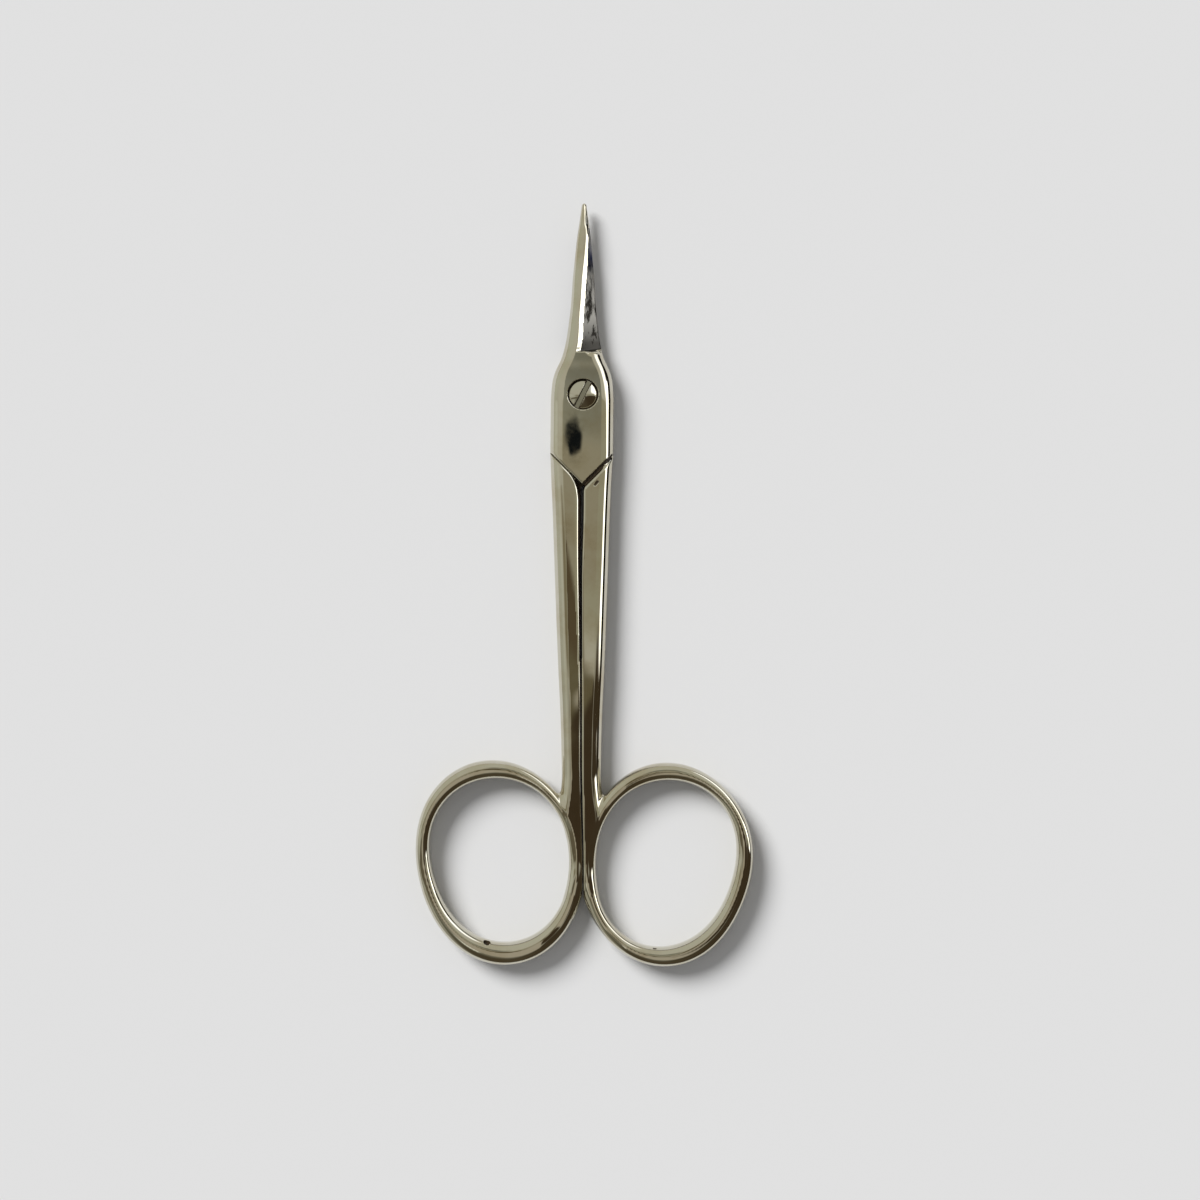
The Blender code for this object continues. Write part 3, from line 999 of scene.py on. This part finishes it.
    def allowed(self, at: Place) -> Array:
        """Field of the space that belongs to this half, between seam, lap line and parting plane.

        Args:
            at: Places across, along and up, in mm.

        Returns:
            Rough distance in mm, negative inside.
        """
        x, y, z = at
        gap = self.parting_gap / 2
        root = math.sqrt(2.0)
        beside = self.seam_gap / 2 + self.seam_line(y) - x
        above_lap = (gap * root - self.lap_reach - x - y) / root
        below_lap = (y + self.lap_reach + gap * root - x) / root
        upper = np.minimum(beside, above_lap)
        plan_round = np.where(z < 0.0, self.shoulder_round, self.crisp_round)
        lower = round_max(beside, below_lap, plan_round)
        return np.minimum(np.maximum(gap - z, upper), lower)

    def wheel_faces(self, at: Place) -> tuple[Array, Array]:
        """Field of the bright strip beside the ridge and of the bevel below it.

        Args:
            at: Places across, along and up, in mm.

        Returns:
            Rough distance in mm, negative inside, and how far past the strip a place lies, across in mm.
        """
        x, y, z = at
        place = np.clip(y, self.shoulder_reach, self.tip_reach)
        width, height, middle = self.outline(place)
        side = middle + width
        band = self.spine_band + self.spine_flare * ease(*self.spine_flare_span, place)
        ridge = middle + np.minimum(band - width, width - self.parting_gap)
        across, up = self.edge(place, width, height)
        past = np.clip((np.abs(ridge - middle) - width + across) / across, 0.0, 1.0)
        ridge_height = height - up + up * np.sqrt(1.0 - past**2)
        strip_width = np.minimum(self.grind_strip, (side - ridge) / self.grind_strip_share)
        fall = math.tan(math.radians(self.grind_strip_slope_deg))
        strip = z - ridge_height + (x - ridge) * fall
        slope = (ridge_height - strip_width * fall - self.cutting_edge) / (side - ridge - strip_width)
        bevel = z - self.cutting_edge + (x - side) * slope
        strip, bevel = strip / math.hypot(1.0, fall), bevel / np.hypot(1.0, slope)
        face = np.where(slope < fall, np.minimum(strip, bevel), np.maximum(strip, bevel))
        return face, np.where(side - ridge > 2 * self.parting_gap, x - ridge - strip_width, -1.0)

    def ground(self, at: Place) -> Array:
        """Field of what the grinding wheel leaves of the blade.

        Args:
            at: Places across, along and up, in mm.

        Returns:
            Rough distance in mm, negative inside.
        """
        x, y, _ = at
        face, _ = self.wheel_faces(at)
        width, _, middle = self.outline(np.clip(y, self.shoulder_reach, self.tip_reach))
        shoulder = y - self.shoulder_reach - self.shoulder_rise * (x - middle - width)
        return fillet_min(face, shoulder, self.grind_run_out_round)

    def groove(self, at: Place) -> tuple[Array, Array]:
        """Field of the dividing groove that mirrors the lap line on the box face.

        Args:
            at: Places across, along and up, in mm.

        Returns:
            Rough distance in mm, negative in the groove, and the radius of its lips.
        """
        x, y, z = at
        radius = self.groove_width / 2
        off_line = (y + self.lap_reach - x) / math.sqrt(2.0)
        floor = self.thickness / 2 - self.groove_depth + radius
        floor = floor - self.groove_dip * ease(*self.groove_dip_across, x)
        channel = np.hypot(off_line, np.minimum(z - floor, 0.0)) - radius
        channel = np.maximum(channel, -x - self.groove_past_apex)
        return channel, np.where(off_line < 0.0, self.groove_lip, self.crisp_round)

    def field(self, at: Place) -> Array:
        """Field of the finished half.

        Args:
            at: Places across, along and up, in mm.

        Returns:
            Rough distance in mm, negative inside.
        """
        x, y, z = at
        across, past = self.crotch_fillet_place
        off_crotch = (x - across) ** 2 + (y + self.crotch_reach + past) ** 2
        near_crotch = np.exp(-off_crotch / (2 * self.crotch_fillet_spread**2))
        bar = round_max(self.bar(at), -self.ring.hole.distance(x, y), self.hole_round)
        run_out = self.run_out_fillet * ease(*self.run_out_fillet_span, y)
        fillet = self.crotch_fillet * near_crotch + run_out + self.sharp_round
        body = fillet_min(bar, self.ring.field(at), fillet)
        lip = self.shoulder_lip * ease(*self.shoulder_lip_span, y)
        lip = lip * ease(*self.shoulder_lip_height, z) * ease(*self.shoulder_lip_across, x)
        body = round_max(body, self.ground(at), self.cut_round + lip)
        body = round_max(body, self.allowed(at), self.seam_rounding(y, z))
        channel, lip = self.groove(at)
        body = round_max(body, -channel, lip)
        radius = np.hypot(x, y)
        body = round_max(body, self.shank_hole_radius - radius, self.cut_round)
        if self.has_head_sink:
            sink = np.maximum(radius - self.head_sink_radius, self.head_sink_floor - z)
            body = round_max(body, -sink, self.crisp_round)
        for dent in self.dents:
            body = round_max(body, -dent.field(at), self.dent_round)
        return body

    def finish_of(self, points: Array) -> Array:
        """Tell which finish the surface has at points.

        Args:
            points: Points on the surface as rows, in mm.

        Returns:
            Finish of each point.
        """
        x, y, z = at = points.T
        wheel = (np.abs(self.ground(at)) < self.ground_touch) & (self.wheel_faces(at)[1] > 0.0)
        lap = np.abs(z - self.parting_gap / 2) < self.lap_touch
        lap &= y > -self.lap_reach - self.lap_margin - np.abs(x)
        # Painted shade: the dark finish goes on the groove, the sink wall, the low seam walls, the lap-crotch
        # pocket and the dents.
        painted_shade = self.groove(at)[0] < self.shade_reach
        if self.has_head_sink:
            middle, half = self.sink_wall
            wall = np.abs(z - self.head_sink_floor - middle) < half
            painted_shade |= (np.hypot(x, y) < self.head_sink_radius + self.sink_touch) & wall
        steep = -self.allowed(at) < self.shade_share * self.seam_rounding(y, z)
        steep &= z < self.shade_top - self.shade_fall * ease(*self.shade_fall_span, y)
        painted_shade |= steep & (y < self.shade_start - self.lap_reach) & (y > self.shade_fall_span[1])
        across, along, reach = self.shade_pocket
        pocket = np.hypot(x - across, y + self.lap_reach + along) < reach
        pocket &= y - x < self.pocket_margin - self.lap_reach
        painted_shade |= pocket & (np.abs(z) < self.pocket_half_height)
        for dent in self.dents:
            painted_shade |= dent.field(at) < self.shade_reach
        return np.select([painted_shade, wheel, lap], [Finish.PAINTED_SHADE, Finish.GROUND, Finish.LAPPED], Finish.PLATED)

    def build(self, pivot: Array) -> Object:
        """Skin the half and set it in the row frame.

        Args:
            pivot: Pivot on the parting plane, in mm.

        Returns:
            The half's object, without materials.
        """
        skin = Skinner(self.field, tuple(grid_places(*stretches) for stretches in self.GRID)).skin()
        finishes = self.finish_of(skin.centres())
        turn = np.array([1.0, 1.0, 1.0]) if self.lean > 0 else np.array([-1.0, 1.0, -1.0])
        skin.vertices = skin.vertices * turn + pivot
        skin.normals = skin.normals * turn
        return mesh_object(self.name, skin, finishes)

    def dress(self, piece: Object, finishes: Iterable[Material]) -> None:
        """Give the half its finishes and tie it to the frame.

        Args:
            piece: The half's object.
            finishes: Materials in the order of the finish indices.
        """
        for material in finishes:
            piece.data.materials.append(material)
        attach(piece, self.body)
        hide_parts(self.node)


@dataclass(frozen=True)
class PivotScrew:
    """Slotted pivot screw, in mm from the pivot on the parting plane."""

    name: str = "slotted_screw"
    node: str = "pivot_screw"
    body: str = "lower"
    head_radius: float = 1.75
    head_seat: float = 1.03
    head_top: float = 1.78
    head_dome: float = 0.45
    shank_radius: float = 1.0
    shank_end: float = -1.6
    shank_end_round: float = 0.12
    shank_overlap: float = 0.2
    slot_width: float = 0.66
    slot_depth: float = 0.45
    slot_turn_deg: float = -26.0
    edge_round: float = 0.05
    cut_round: float = 0.03
    # Painted shade in the slot's corners.
    shade_below: float = 0.25
    shade_reach: float = 0.09
    margin: float = 0.08
    grid_past: float = 0.07
    grid_step: float = 0.05
    shank_step: float = 0.12
    fine_from: float = 0.85

    def field(self, at: Place) -> Array:
        """Field of the screw.

        Args:
            at: Places across, along and up, in mm.

        Returns:
            Rough distance in mm, negative inside.
        """
        x, y, z = at
        radius = np.hypot(x, y)
        ball = (self.head_radius**2 + self.head_dome**2) / (2 * self.head_dome)
        dome = np.hypot(radius, z - self.head_top + ball) - ball
        head = round_max(radius - self.head_radius, dome, self.edge_round)
        head = round_max(head, self.head_seat - z, self.cut_round)
        shank = round_max(radius - self.shank_radius, self.shank_end - z, self.shank_end_round)
        shank = np.maximum(shank, z - self.head_seat - self.shank_overlap)
        slot = np.maximum(self.off_slot(x, y), self.head_top - self.slot_depth - z)
        return round_max(np.minimum(head, shank), -slot, self.cut_round)

    def off_slot(self, x: Array, y: Array) -> Array:
        """Distance out of the slot in plan, in mm, negative between its walls."""
        turn = math.radians(self.slot_turn_deg)
        return np.abs(x * math.cos(turn) + y * math.sin(turn)) - self.slot_width / 2

    def painted_shade(self, points: Array) -> Array:
        """Tell whether points on the surface lie in the corners of the slot, which get painted shade.

        Args:
            points: Points on the surface as rows, in mm from the screw's place on the parting plane.

        Returns:
            Whether each point does.
        """
        x, y, z = points.T
        deep = (z < self.head_top - self.shade_below) & (z > self.head_seat + self.cut_round)
        inside = np.hypot(x, y) < self.head_radius - self.margin
        return deep & inside & (np.abs(self.off_slot(x, y)) < self.shade_reach)

    def build(self, pivot: Array) -> Object:
        """Skin the screw and set it in the row frame.

        Args:
            pivot: Pivot on the parting plane, in mm.

        Returns:
            The screw's object, without a material.
        """
        side, step = self.head_radius + self.margin, self.grid_step
        plan = grid_places((-side, side, step))
        heights = grid_places((self.shank_end - self.grid_past, self.fine_from, self.shank_step),
                              (self.fine_from, self.head_top + self.grid_past, step))
        skin = Skinner(self.field, (plan, plan, heights)).skin()
        # The slot's corners get the painted-shade finish.
        finishes = self.painted_shade(skin.centres()).astype(int)
        skin.vertices = skin.vertices + pivot
        return mesh_object(self.name, skin, finishes)

    def dress(self, piece: Object, steel: Material, recess_shade: Material) -> None:
        """Give the screw its finishes and tie it to the frame.

        Args:
            piece: The screw's object.
            steel: Finish of the turned faces.
            recess_shade: Painted shade, the dark finish for the corners of the slot.
        """
        piece.data.materials.append(steel)
        piece.data.materials.append(recess_shade)
        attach(piece, self.body)
        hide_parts(self.node)


def add_object(name: str, data: bpy.types.ID) -> Object:
    """Make an object of a mesh, lamp or camera and link it to the scene."""
    made = bpy.data.objects.new(name, data)
    bpy.context.scene.collection.objects.link(made)
    return made


def mesh_object(name: str, skin: Skin, finishes: Array) -> Object:
    """Make a Blender object from a skin.

    Args:
        name: The object's name.
        skin: Surface in mm.
        finishes: Material index of each quad.

    Returns:
        The object, linked to the scene.
    """
    mesh = bpy.data.meshes.new(name)
    mesh.from_pydata(skin.vertices * MM, [], skin.quads)
    mesh.polygons.foreach_set("material_index", finishes.astype(np.int32))
    mesh.shade_smooth()
    mesh.normals_split_custom_set(skin.normals.reshape(-1, 3))
    mesh.update()
    return add_object(name, mesh)


# Studio.


@dataclass(frozen=True)
class Panel:
    """Soft-edged panel of the studio overhead.

    It is placed by the slope, to the right and up the picture, of a face that mirrors it straight up.
    """

    centre: Pair
    half: Pair
    colour: str
    turn_deg: float
    soft: float
    level: float = 1.0

    def paint(self, tree: Tree, plane: Socket, under: Socket) -> Socket:
        """Lay the panel over what is there.

        Args:
            tree: The world's node tree.
            plane: Slope that a face needs to mirror the ray straight up.
            under: Colour of the overhead so far.

        Returns:
            Colour of the overhead with the panel.
        """
        placed = add_node(tree, "Mapping", {"Vector": plane, "Location": (*self.centre, 0.0),
                                            "Rotation": (0.0, 0.0, math.radians(self.turn_deg)),
                                            "Scale": (*self.half, 1.0)}, vector_type="TEXTURE")
        place = placed.outputs["Vector"]
        edge = vector(tree, "LENGTH", vector(tree, "MULTIPLY", place, place))
        cover = add_node(tree, "MapRange", {"Value": edge, "From Min": 1.0 + self.soft,
                                            "From Max": 1.0 - self.soft}, interpolation_type="SMOOTHSTEP")
        red, green, blue = (channel * self.level for channel in linear(self.colour)[:3])
        return blend(tree, cover.outputs["Result"], under, (red, green, blue, 1.0))


@dataclass(frozen=True)
class Studio:
    """Pale floor, soft lamp from the upper left, overhead with panels, and the camera."""

    floor_colour: str = "#e0e0e0"
    floor_half: float = 3.0
    floor_drop_mm: float = 0.02
    lamp_watts: float = 3.42
    lamp_angle_deg: float = 28.0
    lamp_tilt_deg: float = 49.5
    lamp_turn_deg: float = 45.0
    fill_level: float = 0.3
    room_colour: str = "#c3c1b5"
    view_width: float = 0.14154
    view_centre: Pair = (0.001842, -0.001791)
    view_distance: float = 0.35
    view_height: float = 0.0017
    view_sensor_mm: float = 36.0
    view_clip: Span = (0.01, 20.0)
    panels: tuple[Panel, ...] = (
        Panel((-0.98, 0.02), (0.6, 0.08), "#e6e8dd", -5, 0.32),
        Panel((-0.58, 0.26), (0.61, 0.16), "#c2c3b6", 15, 0.75),
        Panel((-0.89, -0.53), (0.65, 0.53), "#a8a79b", 9, 0.48),
        Panel((-0.17, -0.38), (0.14, 0.33), "#77776a", -8, 0.8),
        Panel((0.09, -0.73), (0.53, 0.41), "#666153", -3, 0.49),
        Panel((0.9, 0.36), (0.5, 0.56), "#4a4941", 16, 0.4),
        Panel((0.44, 0.37), (0.22, 0.27), "#d6dae2", -8, 0.43),
        Panel((0.77, 0.3), (0.22, 0.19), "#1f1c15", -15, 0.25),
        Panel((0.34, 0.42), (0.11, 0.15), "#ffffff", 20, 0.4, level=1.6),
        Panel((0.395, 0.25), (0.115, 0.19), "#ffffff", -8, 0.3, level=2),
        Panel((0.9, 0.03), (0.27, 0.17), "#1f1c15", 0, 0.25),
        Panel((0.525, 0.04), (0.122, 0.11), "#ffffff", 10, 0.12, level=3),
        Panel((0.55, -0.272), (0.53, 0.24), "#43392b", -6, 0.12),
        Panel((0.31, -0.54), (0.56, 0.2), "#483f30", -3, 0.46),
        Panel((-0.05, -0.52), (0.2, 0.36), "#51493a", 0, 0.8),
        Panel((-0.21, -0.08), (0.24, 0.03), "#6a6353", 10, 0.6),
        Panel((-0.008, -0.075), (0.034, 0.08), "#b4ad9f", 25, 0.8),
        Panel((-0.06, -0.12), (0.014, 0.03), "#e4e2d8", -20, 0.5),
        Panel((0.21, 0.014), (0.28, 0.026), "#a3a08d", -1, 0.3),
        Panel((0.01, 0.07), (0.034, 0.045), "#84847a", 12, 0.9),
        Panel((-0.16, -0.003), (0.11, 0.0135), "#88806a", 0, 0.7),
        Panel((-0.003, 0.015), (0.027, 0.0125), "#9e9886", -2, 0.38),
        Panel((-0.0158, -0.0036), (0.016, 0.01), "#5d513e", -58, 0.3),
        Panel((0.004, -0.021), (0.037, 0.0078), "#6c6550", -15, 0.6),
        Panel((0.056, -0.045), (0.042, 0.03), "#43382a", 6, 0.3),
        Panel((-0.0073, 0.0274), (0.0043, 0.0021), "#15181a", -10, 0.4),
        Panel((-0.0073, 0.0274), (0.0029, 0.0031), "#15181a", 10, 0.4),
    )

    def lay_floor(self) -> None:
        """Lay the floor that carries the scissors and their shadow."""
        half = self.floor_half
        mesh = bpy.data.meshes.new("studio_floor")
        mesh.from_pydata([(-half, -half, 0.0), (half, -half, 0.0), (half, half, 0.0), (-half, half, 0.0)], [],
                         [(0, 1, 2, 3)])
        floor = add_object("studio_floor", mesh)
        floor.location.z = -self.floor_drop_mm * MM
        material, _, shader = new_material("matt_card")
        plug(shader, {"Base Color": linear(self.floor_colour), "Roughness": 1.0, "Specular IOR Level": 0.0})
        mesh.materials.append(material)
        floor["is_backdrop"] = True

    def hang_lamp(self) -> None:
        """Hang the broad lamp whose shadow falls to the lower right."""
        lamp = bpy.data.lights.new("soft_lamp", "SUN")
        lamp.energy = self.lamp_watts
        lamp.angle = math.radians(self.lamp_angle_deg)
        holder = add_object("soft_lamp", lamp)
        holder.rotation_euler = (-math.radians(self.lamp_tilt_deg), 0.0, math.radians(self.lamp_turn_deg))
        holder.visible_glossy = False

    def light_room(self) -> None:
        """Build the overhead that the metal mirrors, and the plain fill that lights the floor."""
        world = bpy.data.worlds.new("studio")
        world.use_nodes = True
        tree = world.node_tree
        tree.nodes.clear()
        ray = add_node(tree, "TexCoord").outputs["Generated"]
        up = add_node(tree, "SeparateXYZ", {"Vector": ray}).outputs["Z"]
        share = scalar(tree, "DIVIDE", 1.0, scalar(tree, "MAXIMUM", scalar(tree, "ADD", up, 1.0), 0.01))
        slope = add_node(tree, "VectorMath", {0: ray, "Scale": share}, operation="SCALE").outputs["Vector"]
        plane = vector(tree, "MULTIPLY", slope, (1.0, 1.0, 0.0))
        colour = add_node(tree, "RGB").outputs["Color"]
        colour.default_value = linear(self.room_colour)
        for panel in self.panels:
            colour = panel.paint(tree, plane, colour)
        path = add_node(tree, "LightPath").outputs
        room = add_node(tree, "Background",
                        {"Color": blend(tree, path["Is Camera Ray"], colour, linear(self.floor_colour))})
        fill = add_node(tree, "Background", {"Color": (1.0, 1.0, 1.0, 1.0), "Strength": self.fill_level})
        seen = scalar(tree, "MAXIMUM", path["Is Camera Ray"], path["Is Glossy Ray"])
        shown = scalar(tree, "MAXIMUM", seen, path["Is Transmission Ray"])
        both = add_node(tree, "MixShader",
                        {0: shown, 1: fill.outputs["Background"], 2: room.outputs["Background"]})
        add_node(tree, "OutputWorld", {"Surface": both.outputs["Shader"]})
        bpy.context.scene.world = world

    def set_camera(self) -> None:
        """Set the camera straight above, framed on the closed scissors."""
        lens = bpy.data.cameras.new("camera")
        lens.sensor_width = self.view_sensor_mm
        lens.lens = lens.sensor_width * self.view_distance / self.view_width
        lens.clip_start, lens.clip_end = self.view_clip
        camera = add_object("camera", lens)
        camera.location = (*self.view_centre, self.view_distance + self.view_height)
        bpy.context.scene.camera = camera

    def build(self) -> None:
        """Set up floor, lamp, room, camera and view."""
        self.lay_floor()
        self.hang_lamp()
        self.light_room()
        self.set_camera()
        bpy.context.scene.view_settings.view_transform = "Standard"


UPPER_RING = FingerRing(
    hole=Oval(9.75, 55.2, 9.024, ((-0.075, 0.087), (-0.788, 0.358), (0.067, 0.114), (-0.022, -0.004))),
    rim=Oval(9.75, 55.2, 10.985, ((0.103, -0.081), (-0.916, 0.196), (0.024, 0.062), (0.1, 0.066))))
LOWER_RING = FingerRing(
    hole=Oval(9.8, 54.9, 8.906, ((-0.057, 0.172), (-0.75, 0.324), (0.03, 0.11), (-0.029, 0.002))),
    rim=Oval(9.8, 54.9, 10.907, ((0.036, -0.134), (-1.079, 0.472), (-0.032, 0.077), (0.034, -0.037))))


def corners() -> list[list[float]]:
    """Lowest and highest corner of what shows, as plain lists."""
    return [list(corner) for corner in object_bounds()]


def main() -> None:
    """Load the frame, build and dress each piece, and set up the studio."""
    logging.basicConfig(level=logging.INFO, format="%(name)s: %(message)s")
    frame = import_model()
    pivot = np.array(next(joint["pos_m"] for joint in frame["joints"] if joint["name"] == "pivot")) / MM

    lapped = GroundSteel("lapped_steel", "#b3b1a9", "#85827a", roughness=0.24, tint_level=0.0, darkening_level=0.0)
    finishes = (PolishedNickel().make(), GroundSteel().make(), lapped.make(), PaintedRecessShade().make())
    halves = (
        ForgedHalf("plated_half_over", "upper_half", "upper", UPPER_RING, 1,
                   dents=(Dent((-1.32, 14.4, 0.45), 0.16), Dent((8.5, -64.8, 1.2), 0.4),
                          Dent((1.43, -10.66, 1.78), 0.14, (0.3, 0.36)))),
        ForgedHalf("plated_half_under", "lower_half", "lower", LOWER_RING, -1, has_head_sink=False,
                   seam_shift_high=0.2, seam_shift_low=0.25,
                   dents=(Dent((11.3, -64.45, -1.15), 0.42),)),
    )
    for half in halves:
        piece = half.build(pivot)
        half.dress(piece, finishes)
        LOG.info("%s: %d faces", piece.name, len(piece.data.polygons))
    screw = PivotScrew()
    piece = screw.build(pivot)
    screw.dress(piece, TurnedScrewSteel().make((pivot[0], pivot[1])), finishes[Finish.PAINTED_SHADE])
    LOG.info("%s: %d faces", piece.name, len(piece.data.polygons))

    Studio().build()
    LOG.info("studio ready")


if __name__ == "__main__":
    main()
